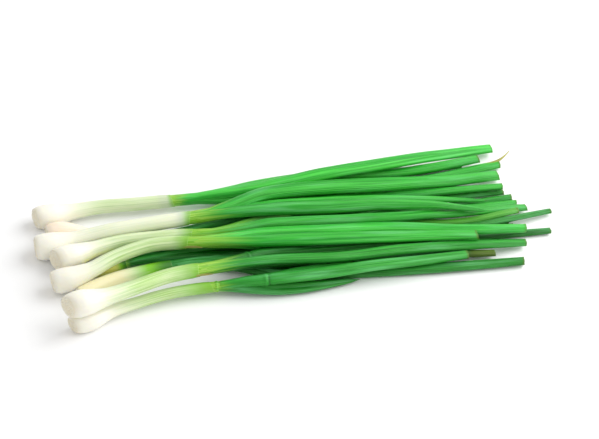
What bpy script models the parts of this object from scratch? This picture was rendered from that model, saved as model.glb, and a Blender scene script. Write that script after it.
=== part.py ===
"""A bunch of nine spring onions lying together on a flat surface.

Lengths are in millimetres until a mesh is made. +X runs from the bulbs to the
leaf tips, +Z is up, and the origin is under the middle of the bunch.
"""
import bmesh
import bpy
import numpy as np

MILLIMETRE = 0.001
MERGE_DISTANCE = 1e-6
SPECK = 1e-5
SHARP_ANGLE = 0.9

# The middle of the bunch in the frame that the onions' points below are measured in.
BUNCH_MIDDLE = np.array([-4.65, -18.6, 0.0])

# Bulb and shank
BULB_STEPS = (0, 2.5, 8, 13, 18, 25, 36, 60)
BULB_SHAPE = (0.84, 0.955, 1.0, 0.95, 0.83, 0.67, 0.59, 0.55)
BULB_RINGS = (0, 2.5, 6, 10, 14, 19, 25, 34, 46, 60)
BULB_SIDES = 10
SHANK_RING_SPACING = 22
SCAR_SHARE = 0.75
SCAR_DEPTH = 0.7
FACING_REACH = 26.0

# Mouth of the pale sheath, with the green neck seated in it
SHEATH_WALL = 0.8
MOUTH_DEPTH = 4.0
SEAT_GAP = 0.35
NECK_SHARE = 0.9
NECK_RINGS = (4, 9, 16)
NECK_OVERRUN = 6

# Leaves
LEAF_FLATNESS = 1.25
LEAF_STEPS = (0, 0.12, 0.35, 0.6, 1.0)
LEAF_SHAPE = (0.82, 0.95, 1.08, 1.04, 0.8)
POINTED_SHAPE = (0.82, 0.95, 1.08, 0.98, 0.3)
LEAF_SIDES = 8
LEAF_ROOT_SHARE = 0.55
LEAF_RINGS = (-8, 3, 14, 25, 36, 48, 64)
LEAF_RING_SPACING = 26
LEAF_WALL = 0.9
HOLLOW_DEPTH = 9

# How the strands lie on each other
STATION = 5.0
CLEARANCE = 0.7
PARTING = 40.0
REST_SHARE = 0.9
ROUNDS = 560
LAST_ROUNDS = 240
PASSES = 3
STEEPEST = 0.6
GIVE = 0.4
EASING = 0.45
LAST_EASING = 0.25
TINY = 1e-9

# A dry wisp hangs on past one leaf's cut end
WISP = dict(onion=0, radius=0.7, sides=5, points=[(140, 28, 4), (150, 28.5, 5), (156, 31, 6), (162, 36, 7)])

# Each onion: its bulb's radius, where its pale sheath ends, how its root plate is turned to the side and
# tilted up in degrees, how much its bulb swells, and its shank's points from the root plate to where its
# leaves part. Each leaf: half its width, and its points from there to its cut tip. The leaves named in
# pointed keep their natural narrow ends, uncut.
ONIONS = [
    dict(radius=8.4, sheath=-84, facing=(16, 6),
         shank=[(-181, 27.5, 7.5), (-170, 28.5, 8), (-156, 30, 7.5),
                (-138, 31.5, 7), (-114, 30, 6.5), (-66, 27.5, 6.5)],
         leaves=[(4.9, [(-23, 24.5, 11), (21, 27, 13), (64, 29.5, 14), (107, 36, 11), (151, 44, 5)]),
                 (4.3, [(-25, 31, 7), (15, 31, 7.5), (56, 29, 7), (97, 28, 7.5), (138, 31, 8)]),
                 (4.2, [(-22, 20, 4.5), (22, 20.5, 4), (65, 20.5, 3.5), (109, 23, 3.5), (153, 28, 3)]),
                 (2.9, [(-24, 26, 3), (14, 30, 3), (51, 32, 3), (88, 33, 3), (126, 32, 3)])]),
    dict(radius=7.2, sheath=-121, facing=(12, 0),
         shank=[(-174, 11, 6), (-162, 10, 7), (-146, 5, 5.5), (-128, -1, 4.5), (-99, -4.5, 4)],
         leaves=[(3.6, [(-49, 2, 4), (0, 9, 3), (50, 9, 3), (95, 8, 3), (140, 4.5, 2.5)]),
                 (3.1, [(-50, -5, 2.5), (-1, -0.5, 2.5), (49, 1, 2.5), (98, 0.5, 2.5), (147, -2, 3)]),
                 (3.3, [(-49, -14, 6.5), (1, -10.5, 8), (52, -9, 5.5), (102, -12, 3.5), (152, -8, 2.5)])]),
    dict(radius=9.2, sheath=-76, facing=(6, 3), pointed=(0, 1),
         shank=[(-183, -3, 8), (-171, -4.5, 9.5), (-156, -3.5, 11.5),
                (-138, -2, 13.5), (-112, -0.5, 14), (-62, 1.5, 13)],
         leaves=[(3.8, [(-23, 6.5, 14.5), (15, 3, 14.5), (54, -1, 13), (92, -7, 11), (131, -15, 8)]),
                 (4.7, [(-24, -3.5, 16), (14, -10.5, 16.5), (52, -15.5, 17),
                       (90, -23, 16), (128, -30.5, 13)]),
                 (5.2, [(-20, 10.5, 16), (22, 10, 16), (64, 7, 15), (106, 8, 11.5), (148, 14, 5)]),
                 (3.2, [(-21, 8, 9), (20, 7, 9), (61, 5, 8.5), (103, 2, 8), (146, -1.5, 8)])]),
    dict(radius=8.4, sheath=-77, facing=(30, 12),
         shank=[(-171, -20.5, 11), (-160, -18.5, 11.5), (-147, -15, 11.5),
                (-129, -11, 10.5), (-96, -11.5, 10.5), (-62, -15, 12)],
         leaves=[(3.8, [(-22, -18.5, 14), (23, -23.5, 13.5), (68, -27, 12),
                       (113, -27, 8), (158, -22, 4)]),
                 (2.9, [(-23, -19.5, 9), (21, -19.5, 8.5), (65, -17.5, 7), (109, -18, 6), (153, -15, 3)]),
                 (3.1, [(-26, -14.5, 3), (16, -19.5, 3), (58, -22.5, 3),
                       (100, -26.5, 3), (142, -32.5, 3)]),
                 (3.0, [(-26, -9, 5), (18, -14, 4), (62, -23, 4), (106, -31, 5), (150, -28, 5)])]),
    dict(radius=8.3, sheath=-81, facing=(10, 0),
         shank=[(-174.5, -39.5, 8.5), (-163, -40, 10), (-149, -37, 13),
                (-131, -28.5, 13.5), (-111, -22.5, 13.5), (-71, -26, 15)],
         leaves=[(4.4, [(-27, -38, 18), (8, -43.5, 17.5), (43, -47.5, 17.5),
                       (78, -50.5, 16.5), (113, -53.5, 13)]),
                 (4.4, [(-26, -27.5, 15), (18, -32.5, 14.5), (62, -37, 13.5),
                       (106, -45, 13), (149, -49.5, 10)]),
                 (3.8, [(-27, -33, 9), (8, -37, 8), (44, -40, 7), (80, -45, 5), (116, -50, 4)])]),
    dict(radius=8.6, sheath=-124, facing=(10, 0), swelling=0.2,
         shank=[(-151, -31, 5), (-140, -29.5, 5), (-126, -27, 5), (-98, -25, 5)],
         leaves=[(3.1, [(-45, -29, 3), (9, -35, 3), (62, -39.5, 3), (115, -44, 3), (168, -47, 2.5)]),
                 (2.7, [(-44, -26.5, 7), (11, -30, 8), (65, -34.5, 8), (119, -36, 7), (174, -28, 3)]),
                 (3.6, [(-49, -21.5, 3), (-1, -25.5, 3), (48, -29, 3), (96, -33.5, 3), (144, -39, 3)])]),
    dict(radius=8.8, sheath=-94, facing=(10, 0), swelling=0.2,
         shank=[(-158, -52, 5.5), (-146, -46, 5.5), (-132, -40.5, 5.5), (-116, -37.5, 5.5), (-63, -36, 4.5)],
         leaves=[(3.6, [(-24, -40.5, 3.5), (8, -43, 3), (40, -46, 3), (72, -49, 3), (104, -52.5, 3)]),
                 (3.5, [(-24, -47, 3.5), (2, -50, 3), (28, -52.5, 3), (54, -55, 3), (80, -58, 3)]),
                 (4.0, [(-22, -53, 3.5), (10, -58, 3.5), (43, -63, 3.5), (92, -69, 3.5), (141, -74, 3.5)])]),
    dict(radius=8.8, sheath=-77, facing=(28, 11),
         shank=[(-166.5, -78, 21.5), (-156, -76, 21.5), (-142, -72.5, 20),
                (-124, -66, 17.5), (-101, -57.5, 16.5), (-70, -52.5, 14)],
         leaves=[(3.8, [(-30, -53, 13), (14, -57.5, 15), (59, -57.5, 14), (104, -58.5, 9.5), (147, -57, 4)]),
                 (4.0, [(-30, -42.5, 11), (-2, -44.5, 11), (26, -46, 10.5), (54, -48, 9), (82, -51, 7)]),
                 (3.3, [(-30, -50, 8.5), (8, -52.5, 8.5), (47, -54, 7), (85, -58, 5), (123, -64, 5)])]),
    dict(radius=6.8, sheath=-70, facing=(30, 0), pointed=(1,),
         shank=[(-165, -79.5, 6), (-155, -77.5, 6), (-139, -71, 5.5),
                (-121, -66.5, 5), (-101, -62.5, 5), (-64, -62, 8)],
         leaves=[(4.0, [(-30, -65, 12.5), (4, -66, 12.5), (37, -65, 11.5), (70, -65.5, 11), (103, -65, 8)]),
                 (4.4, [(-26, -67, 5), (-13, -67.5, 5), (1, -67, 4.5), (15, -66, 4), (28, -65, 3)]),
                 (3.1, [(-25, -60.5, 8), (-12, -60, 8.5), (0, -60, 8.5), (13, -60.5, 8.5), (25, -61, 8)])]),
]

BULB_COLOUR = (0.90, 0.89, 0.72, 1.0)
BULB_ROUGHNESS = 0.35
LEAF_COLOUR = (0.10, 0.42, 0.07, 1.0)
LEAF_ROUGHNESS = 0.4


def clear_scene():
    """Take away whatever the scene holds."""
    for thing in list(bpy.data.objects):
        bpy.data.objects.remove(thing, do_unlink=True)


def curve_through(points, stations):
    """The sideways place and height at each station, on a smooth curve through a strand's points."""
    along, *others = np.array(points, float).T
    leg = np.clip(np.searchsorted(along, stations) - 1, 0, len(along) - 2)
    length = along[leg + 1] - along[leg]
    t = np.clip((stations - along[leg]) / length, 0, 1)
    result = []
    for value in others:
        slope = np.gradient(value, along)
        result.append((2 * t**3 - 3 * t**2 + 1) * value[leg] + (t**3 - 2 * t**2 + t) * length * slope[leg]
                      + (3 * t**2 - 2 * t**3) * value[leg + 1] + (t**3 - t**2) * length * slope[leg + 1])
    return result


def bulb_radius(distance, radius, swelling):
    """Radius of a bulb and its shank at a distance from the root plate."""
    shank = BULB_SHAPE[-1]
    return radius * (shank + swelling * (np.interp(distance, BULB_STEPS, BULB_SHAPE) - shank))


def leaf_half_width(share, half_width, pointed):
    """Half the width of a leaf at a share of its length."""
    return half_width * np.interp(share, LEAF_STEPS, POINTED_SHAPE if pointed else LEAF_SHAPE)


class Strand:
    """One leaf followed from its onion's root plate, down the shank it shares, to its cut tip."""

    def __init__(self, onion, number, stations):
        spec = ONIONS[onion]
        half_width, points = spec["leaves"][number]
        self.onion = onion
        self.pointed = number in spec.get("pointed", ())
        self.half_width = half_width
        self.radius = spec["radius"]
        self.swelling = spec.get("swelling", 1.0)
        self.facing = spec["facing"]
        self.start = spec["shank"][0][0]
        self.sheath = spec["sheath"]
        self.split = spec["shank"][-1][0]
        self.tip = points[-1][0]
        self.side, self.height = curve_through(spec["shank"] + points, stations)
        self.active = (stations >= self.start - STATION / 2) & (stations <= self.tip + STATION / 2)
        self.shared = stations < self.split
        shank = self.radius_at(stations)
        shank = np.where(stations > self.sheath, NECK_SHARE, 1.0) * shank
        share = np.clip((stations - self.split) / (self.tip - self.split), 0, 1)
        blade = leaf_half_width(share, half_width, self.pointed)
        self.wide = np.where(self.shared, shank, blade)
        self.tall = np.where(self.shared, shank, blade / LEAF_FLATNESS)

    def radius_at(self, x):
        """Radius of the strand's bulb and shank at x."""
        return bulb_radius(x - self.start, self.radius, self.swelling)


def straighten(values, inner, amount):
    """Ease each inner station towards the middle of its neighbours, as a stiff strand does."""
    bend = 0.5 * (values[:, :-2] + values[:, 2:]) - values[:, 1:-1]
    values[:, 1:-1] += amount * np.where(inner, bend, 0)


def settle(strands, stations):
    """Move the strands apart, station by station, until none cuts another or the surface."""
    count = len(strands)
    onion = np.array([s.onion for s in strands])
    leader = np.array([list(onion).index(o) for o in onion])
    shared = np.array([s.shared for s in strands])
    active = np.array([s.active for s in strands])
    wide = np.array([s.wide for s in strands])
    tall = np.array([s.tall for s in strands])
    goal = np.array([s.side for s in strands])
    side = goal.copy()
    height = np.array([s.height for s in strands])
    inner = active[:, 1:-1] & active[:, :-2] & active[:, 2:]
    counted = active & (~shared | (leader == np.arange(count))[:, None])

    one, other = np.triu_indices(count, 1)
    meeting = counted[one] & counted[other]
    kept = meeting.any(axis=1)
    one, other, meeting = one[kept], other[kept], meeting[kept]
    split = np.array([s.split for s in strands])
    parted = np.clip((stations[None] - split[one][:, None]) / PARTING, 0, 1)
    parted = parted**2 * (3 - 2 * parted)
    share = np.where((onion[one] == onion[other])[:, None], parted, 1.0)
    push = np.zeros((count, len(one)))
    push[one, np.arange(len(one))] = 1
    push[other, np.arange(len(other))] = -1

    for turn in range(ROUNDS):
        easing = EASING if turn < ROUNDS - LAST_ROUNDS else LAST_EASING
        drift = side - goal
        for _ in range(PASSES):
            straighten(drift, inner, easing)
            straighten(height, inner, 0.5 * easing)
        side = goal + drift
        for first in set(leader):
            mates = np.flatnonzero(leader == first)
            together = np.ix_(mates, shared[first])
            side[together] = side[together].mean(axis=0)
            height[together] = height[together].mean(axis=0)
        for _ in range(PASSES):
            slope = np.minimum(np.abs(np.gradient(side, STATION, axis=1)), STEEPEST)
            broad = wide * np.sqrt(1 + slope**2)
            reach_side = (broad[one] + broad[other] + CLEARANCE) * share + TINY
            reach_up = (tall[one] + tall[other] + CLEARANCE) * share + TINY
            apart_side = side[one] - side[other]
            apart_up = height[one] - height[other]
            distance = np.sqrt((apart_side / reach_side)**2 + (apart_up / reach_up)**2) + TINY
            grow_side = apart_side / reach_side**2 / distance
            grow_up = apart_up / reach_up**2 / distance
            short = meeting & (distance < 1)
            move = np.where(short, (1 - distance) / (grow_side**2 + grow_up**2 + TINY), 0)
            side += GIVE * (push @ (move * grow_side))
            height += GIVE * (push @ (move * grow_up))
            for first in set(leader):
                mates = np.flatnonzero(leader == first)
                together = np.ix_(mates, shared[first])
                side[together] = side[first][shared[first]]
                height[together] = height[first][shared[first]]
            height = np.maximum(height, REST_SHARE * tall)
    for strand, strand_side, strand_height in zip(strands, side, height):
        strand.side = strand_side
        strand.height = strand_height


def lay_out():
    """Every strand of the bunch, settled, with the stations they are kept apart at."""
    first = min(spec["shank"][0][0] for spec in ONIONS)
    last = max(points[-1][0] for spec in ONIONS for _, points in spec["leaves"])
    stations = np.arange(first - 2 * STATION, last + 2 * STATION, STATION)
    strands = []
    for onion, spec in enumerate(ONIONS):
        for number in range(len(spec["leaves"])):
            strands.append(Strand(onion, number, stations))
    settle(strands, stations)
    return strands, stations


def centre_at(strand, stations, x):
    """The middle of a strand at x, in its own frame."""
    live = strand.active
    y = np.interp(x, stations[live], strand.side[live])
    z = np.interp(x, stations[live], strand.height[live])
    return np.array([x, y, z])


def way_ahead(strand, stations, x):
    """The way a strand runs at x, towards its tip."""
    reach = 0.6 * STATION
    return centre_at(strand, stations, x + reach) - centre_at(strand, stations, x - reach)


def ring_at(strand, stations, x, wide, tall, sides, inset=0.0):
    """A ring of points square to the strand at x, moved back along it by inset."""
    ahead = way_ahead(strand, stations, x)
    return ring_round(centre_at(strand, stations, x), ahead, wide, tall, sides, inset)


def bulb_ring(strand, stations, x, radius, inset=0.0):
    """A ring of a bulb or shank, turned to face as the root plate does, the more the nearer to it."""
    near = np.clip(1 - (x - strand.start) / FACING_REACH, 0, 1)**2
    turn, tilt = near * np.radians(strand.facing)
    ahead = way_ahead(strand, stations, x)
    ahead /= np.linalg.norm(ahead)
    ahead = np.array([ahead[0] * np.cos(turn) - ahead[1] * np.sin(turn),
                      ahead[0] * np.sin(turn) + ahead[1] * np.cos(turn), ahead[2] - np.tan(tilt)])
    return ring_round(centre_at(strand, stations, x), ahead, radius, radius, BULB_SIDES, inset)


def ring_round(centre, ahead, wide, tall, sides, inset=0.0):
    """A ring of points round a centre, square to the way ahead and flattened at the surface."""
    ahead = ahead / np.linalg.norm(ahead)
    across = np.cross((0, 0, 1), ahead)
    across /= np.linalg.norm(across)
    upward = np.cross(ahead, across)
    turn = (np.arange(sides) + 0.5) / sides * 2 * np.pi - np.pi / 2
    ring = (centre - inset * ahead + wide * np.cos(turn)[:, None] * across
            + tall * np.sin(turn)[:, None] * upward)
    ring -= BUNCH_MIDDLE
    ring[:, 2] = np.maximum(ring[:, 2], 0)
    return ring


def spaced(start, first_offsets, end, spacing):
    """Places from start on: the first offsets, then even steps until the end."""
    places = [start + offset for offset in first_offsets if start + offset < end - spacing / 3]
    steps = max(1, round((end - places[-1]) / spacing))
    return places + list(np.linspace(places[-1], end, steps + 1)[1:])


def add_tube(name, rings):
    """A closed tube through the rings: a grid rolled up, its seam merged and its two ends filled."""
    bm = bmesh.new()
    sides = len(rings[0])
    bmesh.ops.create_grid(bm, x_segments=sides, y_segments=len(rings) - 1, size=1)
    bm.verts.ensure_lookup_table()
    for row, ring in enumerate(rings):
        for column in range(sides + 1):
            bm.verts[row * (sides + 1) + column].co = ring[column % sides] * MILLIMETRE
    bmesh.ops.remove_doubles(bm, verts=bm.verts, dist=MERGE_DISTANCE)
    bmesh.ops.holes_fill(bm, edges=[edge for edge in bm.edges if edge.is_boundary])
    bmesh.ops.recalc_face_normals(bm, faces=bm.faces)
    mesh = bpy.data.meshes.new(name)
    bm.to_mesh(mesh)
    bm.free()
    tube = bpy.data.objects.new(name, mesh)
    bpy.context.scene.collection.objects.link(tube)
    return tube


def bulb_rings(strand, stations):
    """Rings of a bulb and its shank, from the root scar to the bottom of the sheath's mouth."""
    scar = SCAR_SHARE * strand.radius_at(strand.start)
    rings = [bulb_ring(strand, stations, strand.start, scar, -SCAR_DEPTH)]
    for x in spaced(strand.start, BULB_RINGS, strand.sheath, SHANK_RING_SPACING):
        rings.append(bulb_ring(strand, stations, x, strand.radius_at(x)))
    inside = strand.radius_at(strand.sheath) - SHEATH_WALL
    rings.append(bulb_ring(strand, stations, strand.sheath, inside))
    rings.append(bulb_ring(strand, stations, strand.sheath, inside, MOUTH_DEPTH))
    return rings


def neck_rings(strand, stations):
    """Rings of the green neck, from its seat in the sheath's mouth to just past where the leaves part."""
    seat = strand.radius_at(strand.sheath) - SHEATH_WALL - SEAT_GAP
    foot = MOUTH_DEPTH - SEAT_GAP
    rings = [ring_at(strand, stations, strand.sheath, seat, seat, BULB_SIDES, foot),
             ring_at(strand, stations, strand.sheath, seat, seat, BULB_SIDES, -SEAT_GAP)]
    end = strand.split + NECK_OVERRUN
    for x in spaced(strand.sheath, NECK_RINGS, end, SHANK_RING_SPACING):
        around = NECK_SHARE * strand.radius_at(x)
        if x == end:
            around *= LEAF_ROOT_SHARE
        rings.append(ring_at(strand, stations, x, around, around, BULB_SIDES))
    return rings


def leaf_rings(strand, stations):
    """Rings of a leaf, from its root inside the neck to its point or the bottom of its hollow cut end."""
    rings = []
    for x in spaced(strand.split, LEAF_RINGS, strand.tip, LEAF_RING_SPACING):
        share = max(0.0, (x - strand.split) / (strand.tip - strand.split))
        wide = leaf_half_width(share, strand.half_width, strand.pointed)
        tall = wide / LEAF_FLATNESS
        if x < strand.split:
            wide = tall = LEAF_ROOT_SHARE * NECK_SHARE * strand.radius_at(x)
        rings.append(ring_at(strand, stations, x, wide, tall, LEAF_SIDES))
    if strand.pointed:
        return rings
    wide -= LEAF_WALL
    tall -= LEAF_WALL
    rings.append(ring_at(strand, stations, strand.tip, wide, tall, LEAF_SIDES))
    rings.append(ring_at(strand, stations, strand.tip, wide, tall, LEAF_SIDES, HOLLOW_DEPTH))
    return rings


def wisp_rings():
    """Rings of the dry wisp along its own points."""
    points = np.array(WISP["points"], float)
    aheads = np.gradient(points, axis=0)
    radius = WISP["radius"]
    return [ring_round(point, ahead, radius, radius, WISP["sides"]) for point, ahead in zip(points, aheads)]


def join(base, extras):
    """One closed body from a base and the tubes that grow from it."""
    group = bpy.data.collections.new(base.name + "_group")
    for extra in extras:
        group.objects.link(extra)
    union = base.modifiers.new("Union", "BOOLEAN")
    union.operation = "UNION"
    union.operand_type = "COLLECTION"
    union.collection = group
    union.solver = "MANIFOLD"
    depsgraph = bpy.context.evaluated_depsgraph_get()
    mesh = bpy.data.meshes.new_from_object(base.evaluated_get(depsgraph))
    base.modifiers.clear()
    base.data = mesh
    for extra in extras:
        bpy.data.objects.remove(extra, do_unlink=True)
    bpy.data.collections.remove(group)


def tidy(body):
    """Merge the specks that a union leaves and split every face into triangles."""
    bm = bmesh.new()
    bm.from_mesh(body.data)
    bmesh.ops.triangulate(bm, faces=bm.faces)
    bmesh.ops.dissolve_degenerate(bm, edges=bm.edges, dist=SPECK)
    bmesh.ops.triangulate(bm, faces=bm.faces)
    bm.to_mesh(body.data)
    bm.free()


def finish(body, colour, roughness):
    """Give a body its material and smooth shading with crisp cut edges."""
    material = bpy.data.materials.new(body.name)
    material.use_nodes = True
    shader = material.node_tree.nodes["Principled BSDF"]
    shader.inputs["Base Color"].default_value = colour
    shader.inputs["Roughness"].default_value = roughness
    shader.inputs["Metallic"].default_value = 0.0
    body.data.materials.clear()
    body.data.materials.append(material)
    body.data.shade_smooth()
    body.data.set_sharp_from_angle(angle=SHARP_ANGLE)


def build_onion(number, strands, stations):
    """One onion: its white bulb with its shank, and its green neck with every leaf grown from it."""
    lead = strands[0]
    bulb = add_tube(f"onion_{number + 1}_bulb", bulb_rings(lead, stations))
    leaves = add_tube(f"onion_{number + 1}_leaves", neck_rings(lead, stations))
    extras = [add_tube("leaf", leaf_rings(strand, stations)) for strand in strands]
    if number == WISP["onion"]:
        extras.append(add_tube("wisp", wisp_rings()))
    join(leaves, extras)
    tidy(leaves)
    finish(bulb, BULB_COLOUR, BULB_ROUGHNESS)
    finish(leaves, LEAF_COLOUR, LEAF_ROUGHNESS)


def main():
    clear_scene()
    strands, stations = lay_out()
    for number in range(len(ONIONS)):
        build_onion(number, [strand for strand in strands if strand.onion == number], stations)


main()
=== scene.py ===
"""Looks of a loose bunch of nine spring onions, laid out as a Blender add-on.

Routes along the strands are in millimetres, as in the part's own source. Every mesh
and every size that a user can change is in metres.
"""
import functools

import bmesh
import bpy
import numpy as np
from bpy.props import FloatProperty, FloatVectorProperty, IntProperty, PointerProperty
from mathutils import Matrix, Vector


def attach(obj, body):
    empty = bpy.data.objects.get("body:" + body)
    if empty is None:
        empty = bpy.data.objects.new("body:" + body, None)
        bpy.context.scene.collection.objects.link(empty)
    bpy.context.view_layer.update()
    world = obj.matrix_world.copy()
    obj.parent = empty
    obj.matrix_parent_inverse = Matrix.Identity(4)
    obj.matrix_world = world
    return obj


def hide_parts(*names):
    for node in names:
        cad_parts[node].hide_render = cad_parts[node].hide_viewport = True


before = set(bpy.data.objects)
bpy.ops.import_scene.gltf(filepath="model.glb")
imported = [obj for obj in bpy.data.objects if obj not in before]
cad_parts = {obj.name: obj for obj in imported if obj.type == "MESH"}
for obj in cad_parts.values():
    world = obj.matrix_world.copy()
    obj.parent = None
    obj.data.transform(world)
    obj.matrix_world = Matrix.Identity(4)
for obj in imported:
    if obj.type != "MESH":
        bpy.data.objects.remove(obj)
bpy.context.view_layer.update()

bl_info = {
    "name": "Spring Onion Bunch",
    "version": (1, 0, 0),
    "blender": (4, 5, 0),
    "location": "View3D > Sidebar > Spring Onions",
    "description": "Builds the skins, leaves, root plates and dry scraps of a bunch of spring onions",
    "category": "Add Mesh",
}

MILLIMETRE = 0.001
MERGE_DISTANCE = 1e-7
BUNCH_MIDDLE = np.array([-4.65, -18.6, 0.0])

# A mix node's sockets for colours, of several by the same names
MIX_COLOUR_A, MIX_COLOUR_B, MIX_COLOUR_RESULT = 6, 7, 2

# Profiles along a bulb and along a leaf, as in the part's own source
BULB_STEPS = (0, 2.5, 8, 13, 18, 25, 36, 60)
BULB_SHAPE = (0.84, 0.955, 1.0, 0.95, 0.83, 0.67, 0.59, 0.55)
FACING_REACH = 26.0
NECK_SHARE = 0.9
LEAF_FLATNESS = 1.25
LEAF_STEPS = (0, 0.12, 0.35, 0.6, 1.0)
LEAF_SHAPE = (0.82, 0.95, 1.08, 1.04, 0.8)
POINTED_SHAPE = (0.82, 0.95, 1.08, 0.98, 0.3)

# How the strands lie on each other, as in the part's own source
STATION = 5.0
CLEARANCE = 0.7
PARTING = 40.0
REST_SHARE = 0.9
ROUNDS = 560
LAST_ROUNDS = 240
PASSES = 3
STEEPEST = 0.6
GIVE = 0.4
EASING = 0.45
LAST_EASING = 0.25
TINY = 1e-9

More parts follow.
